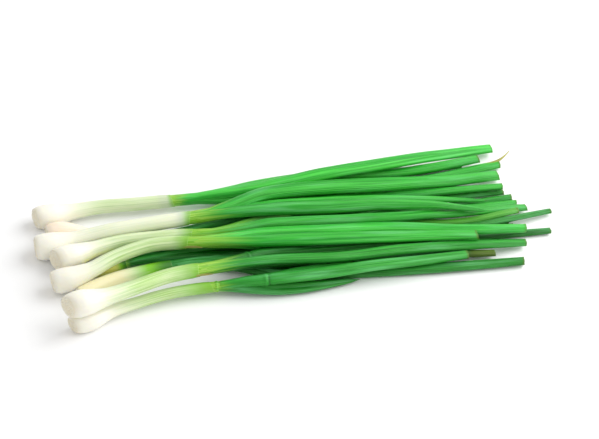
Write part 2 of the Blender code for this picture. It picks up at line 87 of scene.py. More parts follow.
# Each onion: its bulb's radius, where its pale sheath ends, how its root plate is turned to the side and
# tilted up in degrees, how much its bulb swells, and its shank's points from the root plate to where its
# leaves part. Each leaf: half its width, and its points from there to its cut tip. The leaves named in
# pointed keep their natural narrow ends, uncut.
ONIONS = [
    dict(radius=8.4, sheath=-84, facing=(16, 6),
         shank=[(-181, 27.5, 7.5), (-170, 28.5, 8), (-156, 30, 7.5),
                (-138, 31.5, 7), (-114, 30, 6.5), (-66, 27.5, 6.5)],
         leaves=[(4.9, [(-23, 24.5, 11), (21, 27, 13), (64, 29.5, 14), (107, 36, 11), (151, 44, 5)]),
                 (4.3, [(-25, 31, 7), (15, 31, 7.5), (56, 29, 7), (97, 28, 7.5), (138, 31, 8)]),
                 (4.2, [(-22, 20, 4.5), (22, 20.5, 4), (65, 20.5, 3.5), (109, 23, 3.5), (153, 28, 3)]),
                 (2.9, [(-24, 26, 3), (14, 30, 3), (51, 32, 3), (88, 33, 3), (126, 32, 3)])]),
    dict(radius=7.2, sheath=-121, facing=(12, 0),
         shank=[(-174, 11, 6), (-162, 10, 7), (-146, 5, 5.5), (-128, -1, 4.5), (-99, -4.5, 4)],
         leaves=[(3.6, [(-49, 2, 4), (0, 9, 3), (50, 9, 3), (95, 8, 3), (140, 4.5, 2.5)]),
                 (3.1, [(-50, -5, 2.5), (-1, -0.5, 2.5), (49, 1, 2.5), (98, 0.5, 2.5), (147, -2, 3)]),
                 (3.3, [(-49, -14, 6.5), (1, -10.5, 8), (52, -9, 5.5), (102, -12, 3.5), (152, -8, 2.5)])]),
    dict(radius=9.2, sheath=-76, facing=(6, 3), pointed=(0, 1),
         shank=[(-183, -3, 8), (-171, -4.5, 9.5), (-156, -3.5, 11.5),
                (-138, -2, 13.5), (-112, -0.5, 14), (-62, 1.5, 13)],
         leaves=[(3.8, [(-23, 6.5, 14.5), (15, 3, 14.5), (54, -1, 13), (92, -7, 11), (131, -15, 8)]),
                 (4.7, [(-24, -3.5, 16), (14, -10.5, 16.5), (52, -15.5, 17),
                       (90, -23, 16), (128, -30.5, 13)]),
                 (5.2, [(-20, 10.5, 16), (22, 10, 16), (64, 7, 15), (106, 8, 11.5), (148, 14, 5)]),
                 (3.2, [(-21, 8, 9), (20, 7, 9), (61, 5, 8.5), (103, 2, 8), (146, -1.5, 8)])]),
    dict(radius=8.4, sheath=-77, facing=(30, 12),
         shank=[(-171, -20.5, 11), (-160, -18.5, 11.5), (-147, -15, 11.5),
                (-129, -11, 10.5), (-96, -11.5, 10.5), (-62, -15, 12)],
         leaves=[(3.8, [(-22, -18.5, 14), (23, -23.5, 13.5), (68, -27, 12),
                       (113, -27, 8), (158, -22, 4)]),
                 (2.9, [(-23, -19.5, 9), (21, -19.5, 8.5), (65, -17.5, 7), (109, -18, 6), (153, -15, 3)]),
                 (3.1, [(-26, -14.5, 3), (16, -19.5, 3), (58, -22.5, 3),
                       (100, -26.5, 3), (142, -32.5, 3)]),
                 (3.0, [(-26, -9, 5), (18, -14, 4), (62, -23, 4), (106, -31, 5), (150, -28, 5)])]),
    dict(radius=8.3, sheath=-81, facing=(10, 0),
         shank=[(-174.5, -39.5, 8.5), (-163, -40, 10), (-149, -37, 13),
                (-131, -28.5, 13.5), (-111, -22.5, 13.5), (-71, -26, 15)],
         leaves=[(4.4, [(-27, -38, 18), (8, -43.5, 17.5), (43, -47.5, 17.5),
                       (78, -50.5, 16.5), (113, -53.5, 13)]),
                 (4.4, [(-26, -27.5, 15), (18, -32.5, 14.5), (62, -37, 13.5),
                       (106, -45, 13), (149, -49.5, 10)]),
                 (3.8, [(-27, -33, 9), (8, -37, 8), (44, -40, 7), (80, -45, 5), (116, -50, 4)])]),
    dict(radius=8.6, sheath=-124, facing=(10, 0), swelling=0.2,
         shank=[(-151, -31, 5), (-140, -29.5, 5), (-126, -27, 5), (-98, -25, 5)],
         leaves=[(3.1, [(-45, -29, 3), (9, -35, 3), (62, -39.5, 3), (115, -44, 3), (168, -47, 2.5)]),
                 (2.7, [(-44, -26.5, 7), (11, -30, 8), (65, -34.5, 8), (119, -36, 7), (174, -28, 3)]),
                 (3.6, [(-49, -21.5, 3), (-1, -25.5, 3), (48, -29, 3), (96, -33.5, 3), (144, -39, 3)])]),
    dict(radius=8.8, sheath=-94, facing=(10, 0), swelling=0.2,
         shank=[(-158, -52, 5.5), (-146, -46, 5.5), (-132, -40.5, 5.5), (-116, -37.5, 5.5), (-63, -36, 4.5)],
         leaves=[(3.6, [(-24, -40.5, 3.5), (8, -43, 3), (40, -46, 3), (72, -49, 3), (104, -52.5, 3)]),
                 (3.5, [(-24, -47, 3.5), (2, -50, 3), (28, -52.5, 3), (54, -55, 3), (80, -58, 3)]),
                 (4.0, [(-22, -53, 3.5), (10, -58, 3.5), (43, -63, 3.5), (92, -69, 3.5), (141, -74, 3.5)])]),
    dict(radius=8.8, sheath=-77, facing=(28, 11),
         shank=[(-166.5, -78, 21.5), (-156, -76, 21.5), (-142, -72.5, 20),
                (-124, -66, 17.5), (-101, -57.5, 16.5), (-70, -52.5, 14)],
         leaves=[(3.8, [(-30, -53, 13), (14, -57.5, 15), (59, -57.5, 14), (104, -58.5, 9.5), (147, -57, 4)]),
                 (4.0, [(-30, -42.5, 11), (-2, -44.5, 11), (26, -46, 10.5), (54, -48, 9), (82, -51, 7)]),
                 (3.3, [(-30, -50, 8.5), (8, -52.5, 8.5), (47, -54, 7), (85, -58, 5), (123, -64, 5)])]),
    dict(radius=6.8, sheath=-70, facing=(30, 0), pointed=(1,),
         shank=[(-165, -79.5, 6), (-155, -77.5, 6), (-139, -71, 5.5),
                (-121, -66.5, 5), (-101, -62.5, 5), (-64, -62, 8)],
         leaves=[(4.0, [(-30, -65, 12.5), (4, -66, 12.5), (37, -65, 11.5), (70, -65.5, 11), (103, -65, 8)]),
                 (4.4, [(-26, -67, 5), (-13, -67.5, 5), (1, -67, 4.5), (15, -66, 4), (28, -65, 3)]),
                 (3.1, [(-25, -60.5, 8), (-12, -60, 8.5), (0, -60, 8.5), (13, -60.5, 8.5), (25, -61, 8)])]),
]

# Looks. Onions and leaves are counted from 0, and distances are in millimetres.

# How far past its sheath each onion's leaves take to turn full green. Below zero, they do so inside it.
GREENING = (10, 30, 30, 50, 44, 3, -2, 26, 16)

# How green each shank grows, how far down its sheath the leaves' green shows, and which onions' sheaths end
# in the same painted shade as their leaves
SHANK_GREEN = (0.68, 0.5, 0.32, 0.75, 0.95, 1.0, 0.7, 1.0, 1.0)
LEAFY = (5, 8, 10, 14, 14, 10, 36, 26, 36)
SHADED_SHEATHS = (5, 6)

# Bulbs whose skin isn't plain ivory: onion, the stain's name and how far up the shank it goes
# The olive stain is real, but it is painted lighter than it is, as painted light on a shank that lies in
# shade
STAINS = {1: ("pink", 34), 5: ("olive", 60), 6: ("cream", 44)}

# Painted shade: how dark each onion's leaves are painted, darkest for the onions that lie low in the bunch's
# shade. Then leaves that have yellowed: onion, leaf and how much
PAINTED_SHADES = (0.08, 0.7, 0.22, 0.35, 0.22, 0.9, 1.0, 0.85, 0.65)
YELLOWED = {(3, 3): 0.22}

# Faint raised rings round a leaf: onion, leaf, place along X and width
COLLARS = ((8, 0, -35.5, 1.1), (7, 1, -44.0, 0.9), (8, 0, -68.0, 0.9))

# Leaves whose tips have dried to olive brown: onion, leaf and how far back from the cut
OLIVE_TIPS = {(7, 2): 20.0}

# Dry wisp: points along its middle, half width at each, half thickness, and how far it is turned at its
# start and how much more at its end, in radians
WISP = dict(points=[(134, 27.5, 4), (140, 28, 4), (146, 28, 4.6), (151, 28.8, 5.2),
                    (156, 31, 6), (162, 36, 7)],
            widths=(0.7, 1.1, 1.2, 1.1, 0.9, 0.5), thickness=0.3, lean=0.8, twist=0.7)

# Scraps of dry skin that cling to a sheath: onion, start and end along X, turn round it in radians and half
# width. Then half the thickness of a scrap, and how much a dry ribbon curls across its width.
SCRAPS = ((7, -85, -70, 3.3, 1.1), (4, -85, -72, 3.2, 1.0))
SCRAP_THICKNESS = 0.12
RIBBON_CURL = 0.12
RIBBON_SIDES = 16

# Along a bulb: how far its close rings go, and the length of its sheath's mouth. Along a leaf: how deep in
# its sheath it starts, where its neck narrows past the mouth, and the length of its cut end.
BULB_END = 40.0
MOUTH = 6
LEAF_ROOT = 8.5
NECK_START, NECK_END = 2, 22
CUT_END = 2

# How far a root plate bulges, and the least and the most radius of its stubs, in metres. Then a way along
# which no two of its points are level.
PLATE_BULGE = 0.00075
STUB_RADII = (0.00028, 0.0005)
SORTING_WAY = Vector((1.0, 0.6180340, 0.4142136))

# What sets the veins of one onion apart from the next onion's
VEIN_STEP = 7


def curve_through(points, stations):
    """The values at each station, on a smooth curve through a strand's points."""
    along, *others = np.array(points, float).T
    leg = np.clip(np.searchsorted(along, stations) - 1, 0, len(along) - 2)
    length = along[leg + 1] - along[leg]
    t = np.clip((stations - along[leg]) / length, 0, 1)
    result = []
    for value in others:
        slope = np.gradient(value, along)
        result.append((2 * t**3 - 3 * t**2 + 1) * value[leg] + (t**3 - 2 * t**2 + t) * length * slope[leg]
                      + (3 * t**2 - 2 * t**3) * value[leg + 1] + (t**3 - t**2) * length * slope[leg + 1])
    return result


def bulb_radius(distance, radius, swelling):
    """Radius of a bulb and its shank at a distance from the root plate, as the layout uses it."""
    shank = BULB_SHAPE[-1]
    return radius * (shank + swelling * (np.interp(distance, BULB_STEPS, BULB_SHAPE) - shank))


def leaf_half_width(share, half_width, pointed):
    """Half the width of a leaf at a share of its length, as the layout uses it."""
    return half_width * np.interp(share, LEAF_STEPS, POINTED_SHAPE if pointed else LEAF_SHAPE)


class Strand:
    """One leaf followed from its onion's root plate, down the shank it shares, to its cut tip."""

    def __init__(self, onion, number, stations):
        spec = ONIONS[onion]
        half_width, points = spec["leaves"][number]
        self.onion = onion
        self.number = number
        self.radius = spec["radius"]
        self.swelling = spec.get("swelling", 1.0)
        self.facing = spec["facing"]
        self.pointed = number in spec.get("pointed", ())
        self.half_width = half_width
        self.start = spec["shank"][0][0]
        self.sheath = spec["sheath"]
        self.split = spec["shank"][-1][0]
        self.tip = points[-1][0]
        self.side, self.height = curve_through(spec["shank"] + points, stations)
        self.active = (stations >= self.start - STATION / 2) & (stations <= self.tip + STATION / 2)
        self.shared = stations < self.split
        shank = bulb_radius(stations - self.start, self.radius, self.swelling)
        shank = np.where(stations > self.sheath, NECK_SHARE, 1.0) * shank
        share = np.clip((stations - self.split) / (self.tip - self.split), 0, 1)
        blade = leaf_half_width(share, half_width, self.pointed)
        self.wide = np.where(self.shared, shank, blade)
        self.tall = np.where(self.shared, shank, blade / LEAF_FLATNESS)


def straighten(values, inner, amount):
    """Ease each inner station towards the middle of its neighbours, as a stiff strand does."""
    bend = 0.5 * (values[:, :-2] + values[:, 2:]) - values[:, 1:-1]
    values[:, 1:-1] += amount * np.where(inner, bend, 0)


def settle(strands, stations):
    """Move the strands apart, station by station, until none cuts another or the surface."""
    count = len(strands)
    onion = np.array([s.onion for s in strands])
    leader = np.array([list(onion).index(o) for o in onion])
    shared = np.array([s.shared for s in strands])
    active = np.array([s.active for s in strands])
    wide = np.array([s.wide for s in strands])
    tall = np.array([s.tall for s in strands])
    goal = np.array([s.side for s in strands])
    side = goal.copy()
    height = np.array([s.height for s in strands])
    inner = active[:, 1:-1] & active[:, :-2] & active[:, 2:]
    counted = active & (~shared | (leader == np.arange(count))[:, None])

    one, other = np.triu_indices(count, 1)
    meeting = counted[one] & counted[other]
    kept = meeting.any(axis=1)
    one, other, meeting = one[kept], other[kept], meeting[kept]
    split = np.array([s.split for s in strands])
    parted = np.clip((stations[None] - split[one][:, None]) / PARTING, 0, 1)
    parted = parted**2 * (3 - 2 * parted)
    share = np.where((onion[one] == onion[other])[:, None], parted, 1.0)
    push = np.zeros((count, len(one)))
    push[one, np.arange(len(one))] = 1
    push[other, np.arange(len(other))] = -1

    for turn in range(ROUNDS):
        easing = EASING if turn < ROUNDS - LAST_ROUNDS else LAST_EASING
        drift = side - goal
        for _ in range(PASSES):
            straighten(drift, inner, easing)
            straighten(height, inner, 0.5 * easing)
        side = goal + drift
        for first in set(leader):
            mates = np.flatnonzero(leader == first)
            together = np.ix_(mates, shared[first])
            side[together] = side[together].mean(axis=0)
            height[together] = height[together].mean(axis=0)
        for _ in range(PASSES):
            slope = np.minimum(np.abs(np.gradient(side, STATION, axis=1)), STEEPEST)
            broad = wide * np.sqrt(1 + slope**2)
            reach_side = (broad[one] + broad[other] + CLEARANCE) * share + TINY
            reach_up = (tall[one] + tall[other] + CLEARANCE) * share + TINY
            apart_side = side[one] - side[other]
            apart_up = height[one] - height[other]
            distance = np.sqrt((apart_side / reach_side)**2 + (apart_up / reach_up)**2) + TINY
            grow_side = apart_side / reach_side**2 / distance
            grow_up = apart_up / reach_up**2 / distance
            short = meeting & (distance < 1)
            move = np.where(short, (1 - distance) / (grow_side**2 + grow_up**2 + TINY), 0)
            side += GIVE * (push @ (move * grow_side))
            height += GIVE * (push @ (move * grow_up))
            for first in set(leader):
                mates = np.flatnonzero(leader == first)
                together = np.ix_(mates, shared[first])
                side[together] = side[first][shared[first]]
                height[together] = height[first][shared[first]]
            height = np.maximum(height, REST_SHARE * tall)
    for strand, strand_side, strand_height in zip(strands, side, height):
        strand.side = strand_side
        strand.height = strand_height


@functools.lru_cache(maxsize=1)
def lay_out():
    """Every strand of the bunch, settled, with the stations they are kept apart at."""
    first = min(spec["shank"][0][0] for spec in ONIONS)
    last = max(points[-1][0] for spec in ONIONS for _, points in spec["leaves"])
    stations = np.arange(first - 2 * STATION, last + 2 * STATION, STATION)
    strands = []
    for onion, spec in enumerate(ONIONS):
        for number in range(len(spec["leaves"])):
            strands.append(Strand(onion, number, stations))
    settle(strands, stations)
    return strands, stations


def strands_of(onion):
    """The settled strands of one onion."""
    return [strand for strand in lay_out()[0] if strand.onion == onion]


def ease(value, low, high):
    """0 below low, 1 above high and a smooth rise between them."""
    t = np.clip((value - low) / (high - low), 0, 1)
    return t * t * (3 - 2 * t)


def middle(strand, x):
    """The middle of a strand at each x, on a smooth curve through its settled stations."""
    stations = lay_out()[1]
    live = strand.active
    points = list(zip(stations[live], strand.side[live], strand.height[live]))
    side, height = curve_through(points, x)
    return np.stack([x, side, height], axis=1)


def unit(ways):
    """Each way at length one."""
    return ways / np.linalg.norm(ways, axis=1)[:, None]


def all_ways(ahead):
    """The ways ahead, with the level way across and the way upward that go with each."""
    across = unit(np.cross((0, 0, 1), ahead))
    return ahead, across, np.cross(ahead, across)


def directions(strand, x):
    """The way ahead, across and upward at each x of a strand, turned near its root as its plate is."""
    reach = 0.6 * STATION
    ahead = unit(middle(strand, x + reach) - middle(strand, x - reach))
    near = np.clip(1 - (x - strand.start) / FACING_REACH, 0, 1)**2
    turn, tilt = np.radians(strand.facing)[:, None] * near
    return all_ways(unit(np.stack([ahead[:, 0] * np.cos(turn) - ahead[:, 1] * np.sin(turn),
                                   ahead[:, 0] * np.sin(turn) + ahead[:, 1] * np.cos(turn),
                                   ahead[:, 2] - np.tan(tilt)], axis=1)))


def turns(sides):
    """Angles round a tube, the first again at the end, with a side and not a corner at the bottom."""
    return (np.arange(sides + 1) % sides + 0.5) / sides * 2 * np.pi - np.pi / 2


class Rings:
    """Rings of points, with what their material reads at each point or, in looks, at each ring."""

    def __init__(self, place, angle, along, looks):
        shape = place.shape[:2]
        skin = [np.broadcast_to(value, shape) for value in (np.cos(angle), np.sin(angle), along)]
        self.place = (place - BUNCH_MIDDLE) * MILLIMETRE
        self.skin = np.stack(skin, axis=2)
        self.looks = {name: np.broadcast_to(value.reshape(len(value), -1), shape)
                      for name, value in looks.items()}


def tube_rings(strand, x, wide, tall, sides, relief=0.0, back=0.0, shift=0.0, **looks):
    """Rings along a strand: shift moves a whole ring, and back draws a point back along the strand."""
    ahead, across, upward = directions(strand, x)
    angle = turns(sides)[None, :]
    wide = (wide[:, None] + relief) * np.cos(angle)
    tall = (tall[:, None] + relief) * np.sin(angle)
    centre = middle(strand, x) + shift
    back = np.broadcast_to(back, wide.shape)
    place = (centre[:, None] + wide[..., None] * across[:, None] + tall[..., None] * upward[:, None]
             - back[..., None] * ahead[:, None])
    place[..., 2] = np.maximum(place[..., 2], 0)
    along = (x[:, None] - strand.start - back) * MILLIMETRE + strand.number + VEIN_STEP * strand.onion
    return Rings(place, angle, along, looks)


def ribbon_rings(path, wide, thickness, twist, fresh):
    """Rings of a thin dry ribbon along a path, turned round it as it goes."""
    _, across, upward = all_ways(unit(np.gradient(path, axis=0)))
    angle = turns(RIBBON_SIDES)[None, :]
    cosine, sine = np.cos(twist)[:, None], np.sin(twist)[:, None]
    flat = wide[:, None] * np.cos(angle)
    thick = thickness * np.sin(angle) + RIBBON_CURL * flat**2 / wide[:, None]
    place = (path[:, None] + (flat * cosine - thick * sine)[..., None] * across[:, None]
             + (flat * sine + thick * cosine)[..., None] * upward[:, None])
    return Rings(place, angle, path[:, :1] * MILLIMETRE, dict(fresh=fresh))


def point_layer(layers, name):
    """The layer of that name on a mesh's points, made if it isn't there yet."""
    return layers.get(name) or layers.new(name)


def add_tube(bm, rings):
    """Add one closed tube to a mesh: a grid rolled up, its seam merged and its ends filled."""
    rows, columns = rings.place.shape[:2]
    for name in rings.looks:
        point_layer(bm.verts.layers.float, name)
    point_layer(bm.verts.layers.float_vector, "skin")
    grid = bmesh.ops.create_grid(bm, x_segments=columns - 1, y_segments=rows - 1, size=1)["verts"]
    skin_layer = bm.verts.layers.float_vector["skin"]
    for vert, place, skin in zip(grid, rings.place.reshape(-1, 3), rings.skin.reshape(-1, 3)):
        vert.co = place
        vert[skin_layer] = skin
    for name, values in rings.looks.items():
        layer = bm.verts.layers.float[name]
        for vert, value in zip(grid, values.ravel()):
            vert[layer] = value
    bmesh.ops.remove_doubles(bm, verts=grid, dist=MERGE_DISTANCE)
    open_edges = [edge for edge in bm.edges if edge.is_boundary]
    caps = bmesh.ops.holes_fill(bm, edges=open_edges)["faces"]
    bmesh.ops.poke(bm, faces=caps)


def new_object(name, data):
    """Put a mesh, camera or light in the scene as an object."""
    thing = bpy.data.objects.new(name, data)
    bpy.context.scene.collection.objects.link(thing)
    return thing


def mesh_object(name, bm, material):
    """Turn a mesh that was built up into an object with its material."""
    mesh = bpy.data.meshes.new(name)
    bm.to_mesh(mesh)
    bm.free()
    mesh.materials.append(material)
    return new_object(name, mesh)


def finished_piece(name, bm, material, slot=None, *nodes):
    """Turn a mesh into a smooth finished piece that rides on the bunch and stands for the nodes given."""
    bmesh.ops.recalc_face_normals(bm, faces=bm.faces)
    piece = mesh_object(name, bm, material)
    piece.data.shade_smooth()
    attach(piece, "root")
    if nodes:
        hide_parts(*nodes)


def tube_piece(name, tubes, material, slot=None, *nodes):
    """A finished piece made of closed tubes."""
    bm = bmesh.new()
    for rings in tubes:
        add_tube(bm, rings)
    finished_piece(name, bm, material, slot, *nodes)


def new_shader(name):
    """A new node material, with its node tree and its shader."""
    material = bpy.data.materials.new(name)
    material.use_nodes = True
    tree = material.node_tree
    return material, tree, tree.nodes["Principled BSDF"]


def feed(tree, node, inputs):
    """Give a node's inputs their values, or link them to other nodes' outputs."""
    for key, value in inputs.items():
        if isinstance(value, bpy.types.NodeSocket):
            tree.links.new(value, node.inputs[key])
        else:
            node.inputs[key].default_value = value


def add_node(tree, kind, inputs, output, **settings):
    """Add a node with its settings, feed it and give one of its outputs."""
    node = tree.nodes.new(kind)
    for name, value in settings.items():
        setattr(node, name, value)
    feed(tree, node, inputs)
    return node.outputs[output]


def attribute(tree, name, output="Fac"):
    """A value stored at the piece's own points."""
    return add_node(tree, "ShaderNodeAttribute", {}, output, attribute_name=name)


def own_place(tree):
    """Each point's place in its own piece."""
    return add_node(tree, "ShaderNodeTexCoord", {}, "Object")


def noise(tree, place, scale, detail=2.0):
    """Soft noise over a place."""
    return add_node(tree, "ShaderNodeTexNoise", {"Vector": place, "Scale": scale, "Detail": detail}, "Fac")


def streaks(tree, stretch, detail, seed=0.0):
    """Noise that is drawn out along a strand: stretch gives how fine it is round and along."""
    inputs = {"Vector": attribute(tree, "skin", "Vector"), "Location": (seed, seed, seed),
              "Scale": (stretch[0], stretch[0], stretch[1])}
    return noise(tree, add_node(tree, "ShaderNodeMapping", inputs, "Vector"), 1.0, detail)


def ranged(tree, value, low, high, to_low=0.0, to_high=1.0):
    """A value taken from one range to another, smoothly and without passing its ends."""
    inputs = {"Value": value, "From Min": low, "From Max": high, "To Min": to_low, "To Max": to_high}
    return add_node(tree, "ShaderNodeMapRange", inputs, "Result", interpolation_type="SMOOTHSTEP")


def product(tree, one, other):
    """The product of two values."""
    return add_node(tree, "ShaderNodeMath", {0: one, 1: other}, "Value", operation="MULTIPLY")


def mixed(tree, share, one, other):
    """Two colours mixed, each a colour or another node's output."""
    inputs = {"Factor": share, MIX_COLOUR_A: one, MIX_COLOUR_B: other}
    return add_node(tree, "ShaderNodeMix", inputs, MIX_COLOUR_RESULT, data_type="RGBA")


def bumped(tree, height, distance):
    """A normal that follows a height."""
    inputs = {"Strength": 1.0, "Distance": distance, "Height": height}
    return add_node(tree, "ShaderNodeBump", inputs, "Normal")


def bulb_material(colours):
    """Bulb skin: ivory or stained, pale green up the shank and as green as a leaf at the sheath's end, with
    painted shade there on the onions that lie in shade.
    """
    material, tree, shader = new_shader("bulb_skin")
    veins = streaks(tree, (9.0, 14.0), 3.0)
    clouds = streaks(tree, (1.3, 45.0), 2.0, seed=3.1)
    from_root = attribute(tree, "from_root")
    leafy = attribute(tree, "leafy")
    colour = mixed(tree, ranged(tree, from_root, 0.0, 0.0035), colours.root_edge, colours.ivory)
    green_share = product(tree, attribute(tree, "greenness"), ranged(tree, clouds, 0.3, 0.7, 0.75, 1.0))
    shank = mixed(tree, ranged(tree, veins, 0.35, 0.7), colours.shank, colours.shank_streak)
    colour = mixed(tree, green_share, colour, shank)
    for stain in ("pink", "olive", "cream"):
        colour = mixed(tree, attribute(tree, stain), colour, getattr(colours, stain))
    leafy_share = product(tree, leafy, ranged(tree, veins, 0.25, 0.6, 0.7, 1.0))
    colour = mixed(tree, leafy_share, colour, colours.leaf_base)
    # Painted shade: where leafy passes 1, the sheath's end takes the dark green of its shaded leaves
    colour = mixed(tree, ranged(tree, leafy, 1.0, 2.0, 0.0, 0.85), colour, colours.shade_and_vein_green)
    colour = mixed(tree, attribute(tree, "inside"), colour, colours.shank_streak)
    feed(tree, shader, {
        "Base Color": colour, "Roughness": ranged(tree, veins, 0.2, 0.8, 0.3, 0.42),
        "Subsurface Weight": 0.35, "Subsurface Scale": 0.004, "Subsurface Radius": (1.0, 0.85, 0.5),
        "Coat Weight": 0.15, "Coat Roughness": 0.25, "Normal": bumped(tree, veins, 0.00018)})
    return material


def leaf_material(colours):
    """Waxy hollow leaf: yellow green by the sheath, green beyond with painted shade on the onions lying low,
    pale inside, olive where it dried.
    """
    material, tree, shader = new_shader("leaf_skin")
    fine = streaks(tree, (11.0, 16.0), 3.0)
    broad = streaks(tree, (1.6, 9.0), 2.0, seed=5.3)
    bloom = streaks(tree, (1.1, 22.0), 4.0, seed=9.7)
    leaf = mixed(tree, ranged(tree, broad, 0.35, 0.65), colours.leaf_light, colours.leaf)
    # Painted shade, deepest on the onions that lie low in the bunch
    leaf = mixed(tree, attribute(tree, "shade"), leaf, colours.shade_and_vein_green)
    leaf = mixed(tree, ranged(tree, bloom, 0.45, 0.75, 0.0, 0.5), leaf, colours.bloom)
    leaf = mixed(tree, ranged(tree, fine, 0.5, 0.34, 0.0, 0.6), leaf, colours.shade_and_vein_green)
    leaf = mixed(tree, ranged(tree, fine, 0.55, 0.68, 0.0, 0.5), leaf, colours.leaf_light)
    base = mixed(tree, ranged(tree, fine, 0.4, 0.65), colours.leaf_base, colours.base_streak)
    colour = mixed(tree, attribute(tree, "green"), base, leaf)
    colour = mixed(tree, attribute(tree, "dry"), colour, colours.dried)
    colour = mixed(tree, attribute(tree, "inside"), colour, colours.leaf_inside)
    feed(tree, shader, {
        "Base Color": colour, "Roughness": ranged(tree, bloom, 0.3, 0.8, 0.34, 0.5),
        "Subsurface Weight": 0.12, "Subsurface Scale": 0.002, "Subsurface Radius": (0.5, 1.0, 0.3),
        "Specular IOR Level": 0.4, "Normal": bumped(tree, fine, 0.0004)})
    return material


def root_material(colours):
    """Beige root plate with the pores of the trimmed roots."""
    material, tree, shader = new_shader("root_plate_flesh")
    place = own_place(tree)
    pores = add_node(tree, "ShaderNodeTexVoronoi", {"Vector": place, "Scale": 900.0}, "Distance")
    blotches = noise(tree, place, 350.0)
    colour = mixed(tree, ranged(tree, blotches, 0.35, 0.7), colours.root_plate, colours.root_edge)
    colour = mixed(tree, ranged(tree, pores, 0.0, 0.35, 0.35, 0.0), colour, colours.root_dark)
    feed(tree, shader, {
        "Base Color": colour, "Roughness": 0.62, "Normal": bumped(tree, pores, 0.00015),
        "Subsurface Weight": 0.2, "Subsurface Scale": 0.003, "Subsurface Radius": (1.0, 0.8, 0.5)})
    return material


def dry_material(colours):
    """Papery dry skin: straw with rusty streaks, and greener where it is still fresh."""
    material, tree, shader = new_shader("dry_skin")
    fine = streaks(tree, (5.0, 60.0), 3.0)
    colour = mixed(tree, ranged(tree, fine, 0.3, 0.7), colours.straw, colours.straw_dark)
    colour = mixed(tree, ranged(tree, attribute(tree, "fresh"), 0.3, 1.0), colour, colours.base_streak)
    feed(tree, shader, {"Base Color": colour, "Roughness": 0.65, "Normal": bumped(tree, fine, 0.0003)})
    return material


def floor_material(colours):
    """Smooth white card, with the faintest unevenness."""
    material, tree, shader = new_shader("white_card")
    share = ranged(tree, noise(tree, own_place(tree), 6.0), 0.3, 0.7, 0.0, 0.3)
    feed(tree, shader, {"Base Color": mixed(tree, share, colours.card, colours.card_shade), "Roughness": 0.9})
    return material


def smooth_bulb_radius(strand, x):
    """Radius of a strand's bulb and shank at each x, on a smooth curve."""
    shape = curve_through(list(zip(BULB_STEPS, BULB_SHAPE)), x - strand.start)[0]
    return strand.radius * (BULB_SHAPE[-1] + strand.swelling * (shape - BULB_SHAPE[-1]))


def smooth_leaf_width(strand, share):
    """Half the width of a leaf at each share of its length, on a smooth curve."""
    shape = POINTED_SHAPE if strand.pointed else LEAF_SHAPE
    return strand.half_width * curve_through(list(zip(LEAF_STEPS, shape)), share)[0]


def ribs(angle, x, count, depth, rng):
    """Fine lengthwise ribs whose heights wander along the strand."""
    relief = np.zeros((len(x), len(angle)))
    for _ in range(3):
        waves = count + rng.integers(-4, 5)
        phase = rng.uniform(0, 2 * np.pi)
        wander = rng.uniform(0.4, 1.2) * np.sin(x / rng.uniform(18, 45) + phase)
        relief += np.cos(waves * angle[None, :] + phase + wander[:, None])
    return depth / 3 * relief


def lobes(angle, x, depth, rng):
    """Broad soft facets round a strand that turn slowly along it."""
    relief = np.zeros((len(x), len(angle)))
    for waves in (2, 3, 4):
        phase = rng.uniform(0, 2 * np.pi)
        turn = rng.uniform(-0.012, 0.012) * x + 0.5 * np.sin(x / rng.uniform(25, 60) + phase)
        strength = 0.6 + 0.4 * np.sin(x / rng.uniform(20, 50) + 2 * phase)
        relief += strength[:, None] / waves * np.cos(waves * angle[None, :] + phase + turn[:, None])
    return depth * relief


def furrow(angle, x, place, start, end, depth, width):
    """A long crease sunk into one side of a strand, fading in and out."""
    gap = (angle[None, :] - place[:, None] + np.pi) % (2 * np.pi) - np.pi
    fade = ease(x, start, start + 0.3 * (end - start)) * (1 - ease(x, end - 0.3 * (end - start), end))
    return -depth * fade[:, None] * np.exp(-(gap / width)**2)


def length_property(name, description, metres):
    """A length that the user can change."""
    return FloatProperty(name=name, description=description, default=metres, unit="LENGTH", precision=5)


def colour_property(name, description, colour):
    """A colour that the user can change."""
    return FloatVectorProperty(name=name, description=description, subtype="COLOR", size=4,
                               default=(*colour, 1.0), min=0.0, max=1.0)


class BunchSizes(bpy.types.PropertyGroup):
    """Small sizes of the skins and leaves."""

    bulb_sides: IntProperty(name="Bulb Sides", description="Points round each bulb", default=56, min=12)
    leaf_sides: IntProperty(name="Leaf Sides", description="Points round each leaf", default=44, min=12)
    ring_step: length_property("Ring Step", "Distance between the rings of a leaf", 0.0018)
    vein_depth: length_property("Vein Depth", "Height of the fine lengthwise veins", 0.00005)
    skin_edge: length_property("Skin Edge", "Thickness of a bulb's outermost skin", 0.00014)
    sheath_lip: length_property("Sheath Lip", "Thickness of a sheath at its mouth", 0.0002)
    sheath_slant: length_property("Sheath Slant", "Most that a sheath's mouth slants back", 0.003)
    leaf_wall: length_property("Leaf Wall", "Thickness of a hollow leaf's wall", 0.00055)
    leaf_hollow: length_property("Leaf Hollow", "How far the hollow shows from a cut end", 0.026)
    leaf_facets: length_property("Leaf Facets", "Depth of the soft facets along a leaf", 0.0003)
    crease_depth: length_property("Crease Depth", "Depth of the creases in a leaf", 0.0009)
    cut_slant: FloatProperty(name="Cut Slant", description="Most that a leaf's cut end slants, as a slope",
                             default=0.16, min=0.0, max=1.0)
    collar_height: length_property("Collar Height", "Height of the faint rings on a leaf", 0.0004)
    root_length: length_property("Root Stub Length", "Length of the trimmed root stubs", 0.0004)
    root_count: IntProperty(name="Root Stubs", description="Trimmed root stubs on each root plate",
                            default=46, min=0)


